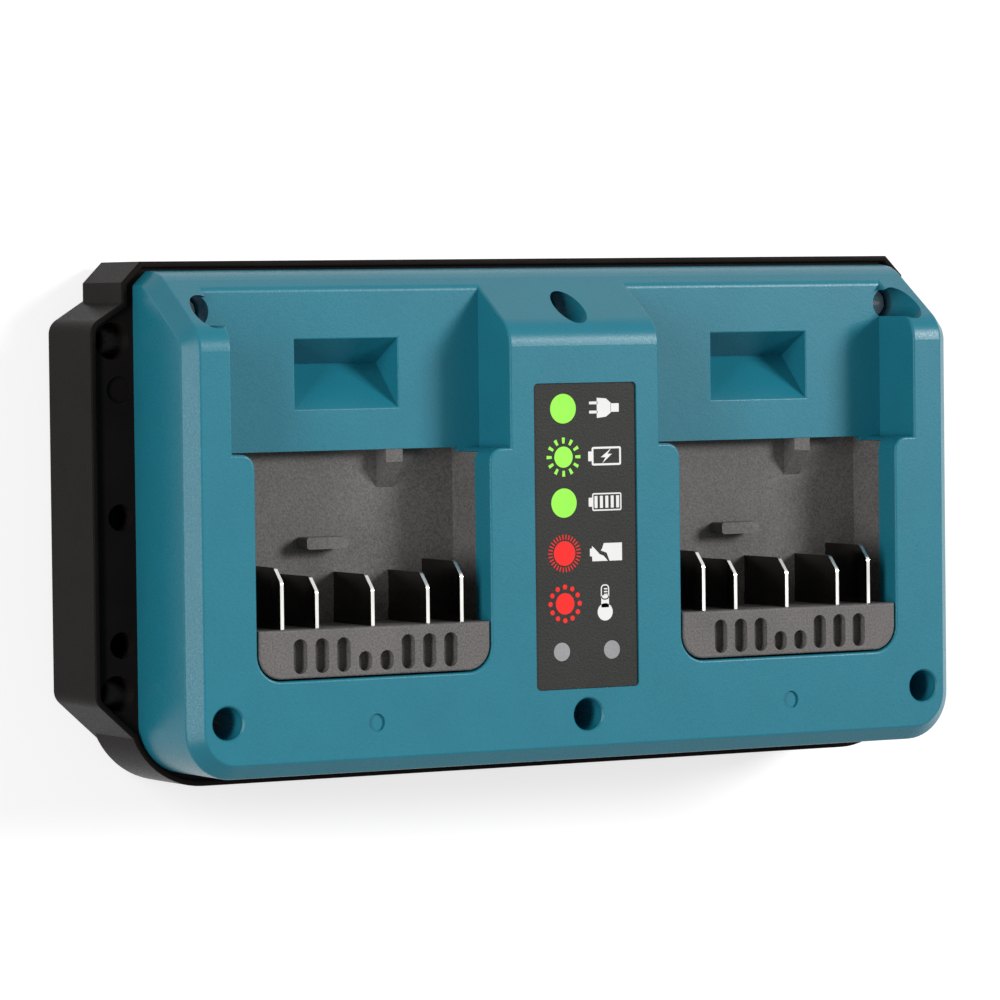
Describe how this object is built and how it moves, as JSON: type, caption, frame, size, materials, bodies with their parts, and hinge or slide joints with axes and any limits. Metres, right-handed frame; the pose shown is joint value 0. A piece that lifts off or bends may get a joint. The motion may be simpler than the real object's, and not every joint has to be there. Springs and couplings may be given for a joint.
{
  "type": "power tool battery charger",
  "caption": "Twin-bay bench charger for slide-on power tool batteries, with a bevelled teal top shell on a black base with side ears and an indicator panel between the bays.",
  "frame": {"origin": "centre of the footprint, on the surface that the feet stand on", "axes": "+Z out of the face with the bays, +Y towards the open end of the bays, +X along the width, across both bays"},
  "size_m": [0.2418, 0.1272, 0.053],
  "materials": {
    "shell_teal": "satin moulded plastic, fine grain",
    "base_black": "satin moulded plastic",
    "housing_grey": "textured moulded plastic",
    "panel_dark": "textured film",
    "clear_plastic": "clear moulded",
    "led_body": "smooth",
    "board_green": "lacquered",
    "screw_steel": "zinc plated",
    "foot_rubber": "matt",
    "ferrite": "matt ceramic",
    "copper_wire": "enamelled",
    "sink_aluminium": "extruded",
    "package_black": "moulded",
    "can_aluminium": "sleeved",
    "capacitor_yellow": "moulded",
    "fuse_glass": "clear",
    "clip_brass": "sprung sheet",
    "inlet_black": "moulded",
    "pin_nickel": "nickel plated",
    "blade_nickel": "nickel plated, stamped"
  },
  "bodies": {
    "root": {"top_shell": "shell_teal", "base_shell": "base_black", "left_terminal_housing": "housing_grey", "right_terminal_housing": "housing_grey", "label_panel": "panel_dark", "light_pipes": "clear_plastic", "status_leds": "led_body", "main_board": "board_green", "case_screws": "screw_steel", "board_screws": "screw_steel", "housing_screws": "screw_steel", "rubber_feet": "foot_rubber", "transformer_core": "ferrite", "transformer_winding": "copper_wire", "primary_heat_sink": "sink_aluminium", "secondary_heat_sink": "sink_aluminium", "switching_transistor": "package_black", "output_rectifiers": "package_black", "bulk_capacitor": "can_aluminium", "output_capacitors": "can_aluminium", "filter_choke_core": "ferrite", "filter_choke_winding": "copper_wire", "output_inductor_core": "ferrite", "output_inductor_winding": "copper_wire", "filter_capacitor": "capacitor_yellow", "bridge_rectifier": "package_black", "charge_relays": "package_black", "control_chip": "package_black", "fuse_tube": "fuse_glass", "fuse_clips": "clip_brass", "mains_inlet": "inlet_black", "inlet_pins": "pin_nickel", "left_positive_blade": "blade_nickel", "left_negative_blade": "blade_nickel", "left_signal_blades": "blade_nickel", "right_positive_blade": "blade_nickel", "right_negative_blade": "blade_nickel", "right_signal_blades": "blade_nickel"}
  },
  "joints": []
}
